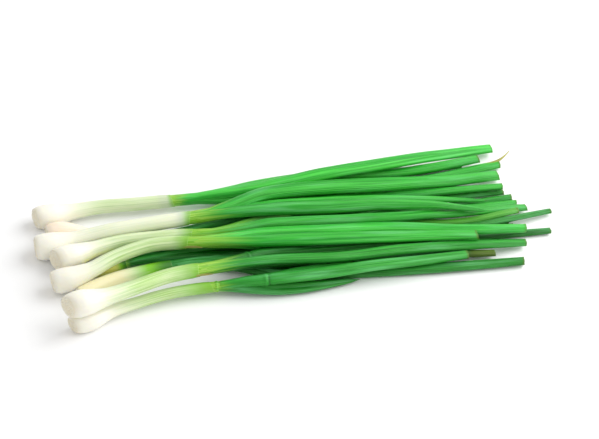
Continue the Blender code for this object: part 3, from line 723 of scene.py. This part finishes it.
class BunchColours(bpy.types.PropertyGroup):
    """Colours of the bunch and of the card it lies on."""

    root_plate: colour_property("Root Plate", "Cut face of the root plate", (0.88, 0.80, 0.60))
    root_dark: colour_property("Root Pores", "Pores of the root plate", (0.64, 0.53, 0.34))
    root_edge: colour_property("Root Edge", "Skin next to the root plate", (0.88, 0.83, 0.67))
    ivory: colour_property("Ivory", "Bulb skin", (0.90, 0.875, 0.765))
    pink: colour_property("Pink", "Stain of a rosy bulb", (0.90, 0.76, 0.60))
    # Painted light: lighter than the real olive stain, to make up for the shade its shank lies in
    olive: colour_property("Olive Stain", "Stain of a shank gone olive yellow", (0.78, 0.80, 0.09))
    cream: colour_property("Cream", "Stain of a creamy shank", (0.80, 0.73, 0.42))
    shank: colour_property("Shank", "Pale green of the shank", (0.33, 0.55, 0.14))
    shank_streak: colour_property("Shank Streak", "Pale streaks of the shank", (0.62, 0.78, 0.38))
    leaf_base: colour_property("Leaf Base", "Leaf where it leaves the sheath", (0.20, 0.54, 0.015))
    base_streak: colour_property("Base Streak", "Paler streaks of the leaf's base", (0.44, 0.70, 0.11))
    leaf: colour_property("Leaf", "Main green of the leaves", (0.012, 0.42, 0.018))
    # Painted shade on shaded leaves and sheath ends, and also the dark green of the fine veins
    shade_and_vein_green: colour_property("Leaf Deep", "Deeper green of shaded leaves", (0.0, 0.13, 0.002))
    leaf_light: colour_property("Leaf Light", "Lighter green along some leaves", (0.07, 0.63, 0.06))
    bloom: colour_property("Bloom", "Waxy bloom on the leaves", (0.17, 0.64, 0.23))
    leaf_inside: colour_property("Leaf Inside", "Pale inside of a hollow leaf", (0.16, 0.50, 0.06))
    dried: colour_property("Dried Tip", "Tips that have dried", (0.09, 0.15, 0.004))
    straw: colour_property("Straw", "Dry skin", (0.42, 0.45, 0.10))
    straw_dark: colour_property("Dark Straw", "Rusty streaks of dry skin", (0.34, 0.27, 0.08))
    card: colour_property("Card", "Card that the bunch lies on", (0.93, 0.93, 0.93))
    card_shade: colour_property("Card Shade", "Faint unevenness of the card", (0.90, 0.90, 0.905))


class BunchStage(bpy.types.PropertyGroup):
    """Where the camera stands and how the light falls."""

    camera_turn: FloatProperty(name="Camera Turn", description="Angle of the camera round the bunch",
                               default=np.radians(-11.0), subtype="ANGLE")
    camera_height: FloatProperty(name="Camera Height", description="Angle of the camera above the surface",
                                 default=np.radians(42.0), subtype="ANGLE")
    camera_distance: length_property("Camera Distance", "From the camera to its target", 1.15)
    view_width: length_property("View Width", "Width of the view at the target", 0.4193)
    card_width: length_property("Card Width", "Side of the card", 6.0)
    key_power: FloatProperty(name="Key Light", description="Power of the soft light behind and to the right",
                             default=25.5, unit="POWER")
    key_size: length_property("Key Size", "Side of the soft light", 1.5)
    key_place: FloatVectorProperty(name="Key Place", description="Where the soft light stands",
                                   default=(1.12, 0.08, 0.82), subtype="TRANSLATION", unit="LENGTH")
    sky: FloatProperty(name="Fill", description="Strength of the white surroundings", default=0.74)


class BUNCH_OT_bulbs(bpy.types.Operator):
    """Model each onion's bulb with its pale shank"""

    bl_idname = "bunch.bulbs"
    bl_label = "Bulbs and Shanks"

    def execute(self, context):
        sizes = context.scene.bunch_sizes
        material = bulb_material(context.scene.bunch_colours)
        for onion in range(len(ONIONS)):
            self.build(onion, sizes, material)
        return {"FINISHED"}

    def build(self, onion, sizes, material):
        """One bulb, from the rim of its root plate to the inside of its sheath's mouth."""
        rng = np.random.default_rng(100 + onion)
        strand = strands_of(onion)[0]
        length = strand.sheath - strand.start
        mouth = length - MOUTH
        close = min(BULB_END, mouth)
        distance = np.concatenate([(0.0, 0.25, 0.7, 1.3), np.arange(2.0, close, 0.9),
                                   np.arange(close, mouth, 2.0), np.linspace(mouth, length, 12)])
        angle = turns(sizes.bulb_sides)

        # Its outside
        radius = smooth_bulb_radius(strand, strand.start + distance)
        radius *= 1 - 0.06 * ease(distance, length - 7, length)
        relief = ribs(angle, distance, 17, sizes.vein_depth / MILLIMETRE, rng)
        relief += lobes(angle, distance, 0.012 * strand.radius, rng) * ease(distance, 0, 5)[:, None]
        relief += self.skin_edge(angle, distance, sizes.skin_edge / MILLIMETRE, rng)

        # The slant of its sheath's mouth
        slant = rng.uniform(0.4, 1.0) * sizes.sheath_slant / MILLIMETRE
        facing = rng.uniform(0, 2 * np.pi)
        notch = 0.5 - 0.5 * np.cos(angle - facing) + 0.06 * np.sin(3 * angle + facing)
        back = slant * notch[None, :] * ease(distance, length - 9, length)[:, None]

        # Five more rings go over the sheath's lip and back down inside it
        lip = sizes.sheath_lip / MILLIMETRE
        radius = np.concatenate([radius, radius[-1] - np.array([0.35, 0.9, 1.0, 1.0, 1.0]) * lip])
        every = np.concatenate([distance, length - np.array([-0.12, 0.1, 1.0, 5.0, 9.0])])
        inside = np.concatenate([np.zeros(len(distance)), (0.3, 1.0, 1.0, 1.0, 1.0)])
        ring = np.minimum(np.arange(len(every)), len(distance) - 1)

        # Colours
        spread = rng.uniform(-4, 4)
        green = ease(every, 14 + spread, 50 + spread) * SHANK_GREEN[onion]
        leafy = ease(every, length - LEAFY[onion], length + 1) * (1 - inside)
        # Values past 1 paint the sheath's end with its leaves' painted shade
        leafy *= 2 if onion in SHADED_SHEATHS else 1
        stain, reach = STAINS.get(onion, ("pink", 0))
        stained = 0.85 * (1 - ease(every, reach - 20, reach))
        rings = tube_rings(strand, strand.start + every, radius, radius, sizes.bulb_sides, relief[ring],
                           back[ring], from_root=every * MILLIMETRE, greenness=green, leafy=leafy,
                           inside=inside, **{stain: stained})
        tube_piece(f"bulb_{onion + 1}", [rings], material, "bulb_white", f"onion_{onion + 1}_bulb")

    def skin_edge(self, angle, distance, depth, rng):
        """The ragged step where the outermost skin of a bulb starts, a little up from the root plate."""
        place = rng.uniform(4, 8) + 1.6 * np.cos(angle + rng.uniform(0, 6)) + 0.5 * np.sin(4 * angle)
        return depth * ease(distance[:, None] - place[None, :], -0.3, 0.3)


class BUNCH_OT_root_plates(bpy.types.Operator):
    """Model the trimmed root plates with their root stubs"""

    bl_idname = "bunch.root_plates"
    bl_label = "Root Plates"

    def execute(self, context):
        sizes = context.scene.bunch_sizes
        material = root_material(context.scene.bunch_colours)
        for onion in range(len(ONIONS)):
            self.build(onion, sizes, material)
        return {"FINISHED"}

    def build(self, onion, sizes, material):
        """One low domed plate, with short stubs spread over it as seeds are on a seed head."""
        rng = np.random.default_rng(200 + onion)
        strand = strands_of(onion)[0]
        start = np.array([float(strand.start)])
        centre = Vector((middle(strand, start)[0] - BUNCH_MIDDLE) * MILLIMETRE)
        ahead, across, upward = (Vector(way[0]) for way in directions(strand, start))
        facing = Matrix((across, upward, -ahead)).transposed().to_4x4()
        radius = 0.97 * smooth_bulb_radius(strand, start)[0] * MILLIMETRE
        bm = bmesh.new()
        dome = bmesh.ops.create_uvsphere(bm, u_segments=40, v_segments=24, radius=1)["verts"]
        for vert in dome:
            swell = 1 + 0.02 * np.cos(3 * np.arctan2(vert.co.y, vert.co.x) + onion)
            vert.co.x *= radius * swell
            vert.co.y *= radius * swell
            vert.co.z *= PLATE_BULGE
        for number in range(sizes.root_count):
            out = 0.86 * radius * np.sqrt((number + 0.5) / sizes.root_count)
            turn = number * np.pi * (3 - np.sqrt(5)) + onion
            thick = rng.uniform(*STUB_RADII)
            long = rng.uniform(0.5, 1.3) * sizes.root_length
            lean = (Matrix.Rotation(rng.uniform(-0.3, 0.3), 4, "X")
                    @ Matrix.Rotation(rng.uniform(-0.3, 0.3), 4, "Y"))
            depth = PLATE_BULGE * np.sqrt(1 - (out / radius)**2)
            spot = Matrix.Translation((out * np.cos(turn), out * np.sin(turn), depth)) @ lean
            bmesh.ops.create_cone(bm, cap_ends=True, segments=7, radius1=thick, radius2=0.75 * thick,
                                  depth=2 * long, matrix=spot)
        bmesh.ops.transform(bm, matrix=Matrix.Translation(centre) @ facing, verts=bm.verts)
        for vert in bm.verts:
            vert.co.z = max(vert.co.z, 0.0)

        # A new sphere's points and faces come in another order on each run, so both get a fixed one
        bm.verts.sort(key=lambda vert: vert.co.dot(SORTING_WAY))
        bm.faces.sort(key=lambda face: face.calc_center_median().dot(SORTING_WAY))
        finished_piece(f"root_plate_{onion + 1}", bm, material, "bulb_white")


class BUNCH_OT_leaves(bpy.types.Operator):
    """Model each onion's green neck and hollow leaves"""

    bl_idname = "bunch.leaves"
    bl_label = "Leaves"

    def execute(self, context):
        sizes = context.scene.bunch_sizes
        material = leaf_material(context.scene.bunch_colours)
        for onion in range(len(ONIONS)):
            strands = strands_of(onion)
            leaves = [self.leaf(strand, strands, sizes) for strand in strands]
            tube_piece(f"leaves_{onion + 1}", leaves, material, "leaf_green", f"onion_{onion + 1}_leaves")
        return {"FINISHED"}

    def leaf(self, strand, mates, sizes):
        """One leaf, from inside its sheath, past the neck, to its cut end and back down its hollow."""
        rng = np.random.default_rng(300 + 10 * strand.onion + strand.number)
        own = (strand.onion, strand.number)

        # Rings, closer together at the cut end and at each raised ring
        step = sizes.ring_step / MILLIMETRE
        root = strand.sheath - LEAF_ROOT
        cut_start = strand.tip - CUT_END
        x = np.linspace(root, cut_start, round((cut_start - root) / step))
        x = np.concatenate([x, cut_start + np.linspace(0, CUT_END, 7)[1:]])
        collars = [collar[2:] for collar in COLLARS if collar[:2] == own]
        for place, width in collars:
            x = np.sort(np.concatenate([x, place + width * np.linspace(-2, 4, 16)]))
        angle = turns(sizes.leaf_sides)

        # Half widths: round in the neck, then the leaf's own, closed to a point or pinched by the cut
        neck = NECK_SHARE * smooth_bulb_radius(strand, x)
        share = np.clip((x - strand.split) / (strand.tip - strand.split), 0, 1)
        blade = smooth_leaf_width(strand, share)
        freed = ease(x, strand.split - 8, strand.split + 24)
        narrowed = ease(x, strand.sheath + NECK_START, strand.sheath + NECK_END)
        held = (1.0 - 0.17 * narrowed) * neck
        wide = (1 - freed) * held + freed * blade
        tall = (1 - freed) * held + freed * blade / LEAF_FLATNESS
        pinch = rng.uniform(0.0, 0.3) * ease(x, strand.tip - 16, strand.tip)
        if strand.pointed:
            closing = np.sqrt(1 - 0.995 * ease(x, strand.tip - 14, strand.tip)**2)
            wide, tall = closing * wide, closing * tall
        else:
            wide, tall = (1 + 0.15 * pinch) * wide, (1 - pinch) * tall

        # Veins, soft facets, creases and raised rings
        relief = ribs(angle, x, 15, sizes.vein_depth / MILLIMETRE, rng)
        loose = ease(x, strand.split - 20, strand.split + 20) * (blade / strand.half_width)
        relief += lobes(angle, x, sizes.leaf_facets / MILLIMETRE, rng) * loose[:, None]
        for _ in range(4):
            start = rng.uniform(strand.split + 10, strand.tip - 60)
            end = start + rng.uniform(35, 90)
            place = rng.uniform(0.2, 2.9) + 0.004 * rng.uniform(-1, 1) * (x - start)
            depth = rng.uniform(0.3, 1.0) * sizes.crease_depth / MILLIMETRE
            relief += furrow(angle, x, place, start, end, depth, rng.uniform(0.25, 0.6)) * loose[:, None]
        shadow = np.zeros(len(x))
        for place, width in collars:
            groove = np.exp(-((x - place - 2 * width) / width)**2)
            bulge = np.exp(-((x - place) / width)**2) - 0.7 * groove
            relief += sizes.collar_height / MILLIMETRE * bulge[:, None]
            shadow = np.maximum(shadow, groove)

        # The slant of the cut
        tilt = rng.uniform(-1, 1, 2) * sizes.cut_slant
        cut = tilt[0] * np.cos(angle) + tilt[1] * np.sin(angle)
        cut = (cut - cut.min()) * wide[-1] + 0.1 * np.sin(5 * angle + tilt[0])
        back = 0.0 if strand.pointed else cut[None, :] * ease(x, strand.tip - 12, strand.tip)[:, None]

        # Colours, with an uneven front where the leaf turns green
        phase = rng.uniform(0, 2 * np.pi, 3)
        front = (5 * np.cos(angle + phase[0]) + 5 * np.cos(4 * angle + phase[1])
                 + 4 * np.cos(9 * angle + phase[2]))
        greening = GREENING[strand.onion]
        uneven = x[:, None] + min(greening / 30, 1) * front[None, :]
        green = ease(uneven, strand.sheath - 4, strand.sheath + greening)
        green *= 1 - YELLOWED.get(own, 0.0)
        dry = rng.uniform(0.4, 0.9) * ease(x, cut_start, strand.tip)
        if own in OLIVE_TIPS:
            reach = OLIVE_TIPS[own]
            dry = np.maximum(dry, 0.9 * ease(x, strand.tip - reach, strand.tip - 0.8 * reach))
        # Painted shade: the onion's painted darkness with a random tone for each leaf, and the painted shadow
        # in the groove behind each raised ring
        shade = np.maximum(shadow, np.clip(PAINTED_SHADES[strand.onion] + rng.uniform(-0.25, 0.25), 0, 1))
        rings = dict(wide=wide, tall=tall, relief=relief, back=back, green=green, dry=dry, shade=shade,
                     inside=np.zeros(len(x)), shift=self.lean(strand, mates, x, neck, narrowed))
        if not strand.pointed:
            x, rings = self.hollow(sizes, x, rings)
        return tube_rings(strand, x, sides=sizes.leaf_sides, **rings)

    def hollow(self, sizes, x, rings):
        """Carry a leaf's rings over its cut rim and back down the inside of its wall."""
        down = np.concatenate([(-0.1, -0.1, 0.0), np.linspace(0.4, sizes.leaf_hollow / MILLIMETRE, 14)])
        thin = np.concatenate([(0.3, 0.7), np.full(15, 1.0)]) * (sizes.leaf_wall / MILLIMETRE)
        inner = x[-1] - down
        index = np.clip(np.searchsorted(x, inner), 0, len(x) - 1)
        rings = {name: np.concatenate([values, values[index]]) for name, values in rings.items()}
        rings["wide"][len(x):] -= thin
        rings["tall"][len(x):] -= thin
        rings["inside"][len(x):] = np.concatenate([(0.2, 0.6), np.full(15, 1.0)])
        return np.concatenate([x, inner]), rings

    def lean(self, strand, mates, x, neck, narrowed):
        """How far a leaf lies to its own side while the neck still holds the leaves together."""
        ahead_x = np.array([strand.split + PARTING])
        centres = np.array([middle(mate, ahead_x)[0] for mate in mates])
        way = middle(strand, ahead_x)[0] - centres.mean(axis=0)
        way /= np.linalg.norm(way) + TINY
        hold = narrowed * (1 - ease(x, strand.split, strand.split + 30))
        return (0.24 * neck * hold)[:, None] * way[None, :]


class BUNCH_OT_dry_bits(bpy.types.Operator):
    """Model the dry wisp past a cut end and the scraps of dry skin that cling to the sheaths"""

    bl_idname = "bunch.dry_bits"
    bl_label = "Dry Bits"

    def execute(self, context):
        material = dry_material(context.scene.bunch_colours)
        tube_piece("dry_wisp", [self.wisp()], material)
        for number, scrap in enumerate(SCRAPS):
            tube_piece(f"dry_scrap_{number + 1}", [self.scrap(*scrap)], material)
        return {"FINISHED"}

    def wisp(self):
        """The dry end of a leaf, curving out past the cut ends."""
        share = np.linspace(0, 1, 60)
        steps = np.linspace(0, 1, len(WISP["widths"]))
        points = np.array(WISP["points"], float)
        path = np.stack([np.interp(share, steps, values) for values in points.T], axis=1)
        for _ in range(30):
            path[1:-1] = 0.5 * path[1:-1] + 0.25 * (path[:-2] + path[2:])
        wide = np.interp(share, steps, WISP["widths"])
        return ribbon_rings(path, wide, WISP["thickness"], WISP["lean"] + WISP["twist"] * share**2, 1 - share)

    def scrap(self, onion, first, last, turn, half_width):
        """A thin curling flake that lies along a sheath."""
        strand = strands_of(onion)[0]
        x = np.linspace(first, last, 40)
        share = np.linspace(0, 1, len(x))
        _, across, upward = directions(strand, x)
        lift = smooth_bulb_radius(strand, x) * 0.97 + 0.9 * share**3
        path = middle(strand, x) + lift[:, None] * (np.cos(turn) * across + np.sin(turn) * upward)
        wide = half_width * np.sin(np.pi * np.clip(share, 0.04, 0.97))**0.5
        twist = np.full(len(x), turn + np.pi / 2)
        return ribbon_rings(path, wide, SCRAP_THICKNESS, twist, np.full(len(x), 0.2))


class BUNCH_OT_stage(bpy.types.Operator):
    """Set the card, the camera and the soft light"""

    bl_idname = "bunch.stage"
    bl_label = "Stage"

    def execute(self, context):
        stage = context.scene.bunch_stage
        self.card(context, stage)
        self.camera(context, stage)
        self.light(context, stage)
        context.scene.view_settings.view_transform = "Standard"
        return {"FINISHED"}

    def card(self, context, stage):
        """The white card that the bunch lies on."""
        bm = bmesh.new()
        bmesh.ops.create_grid(bm, x_segments=1, y_segments=1, size=stage.card_width / 2)
        mesh_object("card", bm, floor_material(context.scene.bunch_colours))

    def camera(self, context, stage):
        """The camera, at the height and turn that the bunch is seen from."""
        level = Vector((np.sin(stage.camera_turn), -np.cos(stage.camera_turn), 0))
        back = level * np.cos(stage.camera_height) + Vector((0, 0, np.sin(stage.camera_height)))
        target = Vector(-BUNCH_MIDDLE * MILLIMETRE)
        data = bpy.data.cameras.new("camera")
        data.sensor_width = 36.0
        data.lens = data.sensor_width * stage.camera_distance / stage.view_width
        data.clip_end = 50.0
        camera = new_object("camera", data)
        camera.location = target + stage.camera_distance * back
        camera.rotation_euler = back.to_track_quat("Z", "Y").to_euler()
        context.scene.camera = camera

    def light(self, context, stage):
        """One soft light high behind on the right, and white surroundings."""
        data = bpy.data.lights.new("key", "AREA")
        data.size = stage.key_size
        data.energy = stage.key_power
        key = new_object("key", data)
        key.location = stage.key_place
        key.rotation_euler = Vector(key.location).to_track_quat("Z", "Y").to_euler()
        world = bpy.data.worlds.new("white_room")
        world.use_nodes = True
        background = world.node_tree.nodes["Background"]
        background.inputs["Color"].default_value = (1.0, 1.0, 1.0, 1.0)
        background.inputs["Strength"].default_value = stage.sky
        context.scene.world = world


class BUNCH_PT_panel(bpy.types.Panel):
    """Lists the pieces of the bunch and what can be changed"""

    bl_idname = "BUNCH_PT_panel"
    bl_label = "Spring Onion Bunch"
    bl_space_type = "VIEW_3D"
    bl_region_type = "UI"
    bl_category = "Spring Onions"

    def draw(self, context):
        layout = self.layout
        for operator in OPERATORS:
            layout.operator(operator.bl_idname)
        for group in (context.scene.bunch_sizes, context.scene.bunch_colours, context.scene.bunch_stage):
            box = layout.box()
            for name in group.bl_rna.properties.keys():
                if name not in ("rna_type", "name"):
                    box.prop(group, name)


GROUPS = (BunchSizes, BunchColours, BunchStage)
OPERATORS = (BUNCH_OT_bulbs, BUNCH_OT_root_plates, BUNCH_OT_leaves, BUNCH_OT_dry_bits, BUNCH_OT_stage)
CLASSES = GROUPS + OPERATORS + (BUNCH_PT_panel,)


def register():
    for item in CLASSES:
        bpy.utils.register_class(item)
    bpy.types.Scene.bunch_sizes = PointerProperty(type=BunchSizes)
    bpy.types.Scene.bunch_colours = PointerProperty(type=BunchColours)
    bpy.types.Scene.bunch_stage = PointerProperty(type=BunchStage)


def unregister():
    del bpy.types.Scene.bunch_sizes
    del bpy.types.Scene.bunch_colours
    del bpy.types.Scene.bunch_stage
    for item in reversed(CLASSES):
        bpy.utils.unregister_class(item)


def main():
    """Register the add-on and build every piece in order."""
    register()
    bpy.ops.bunch.bulbs()
    bpy.ops.bunch.root_plates()
    bpy.ops.bunch.leaves()
    bpy.ops.bunch.dry_bits()
    bpy.ops.bunch.stage()


if __name__ == "__main__":
    main()
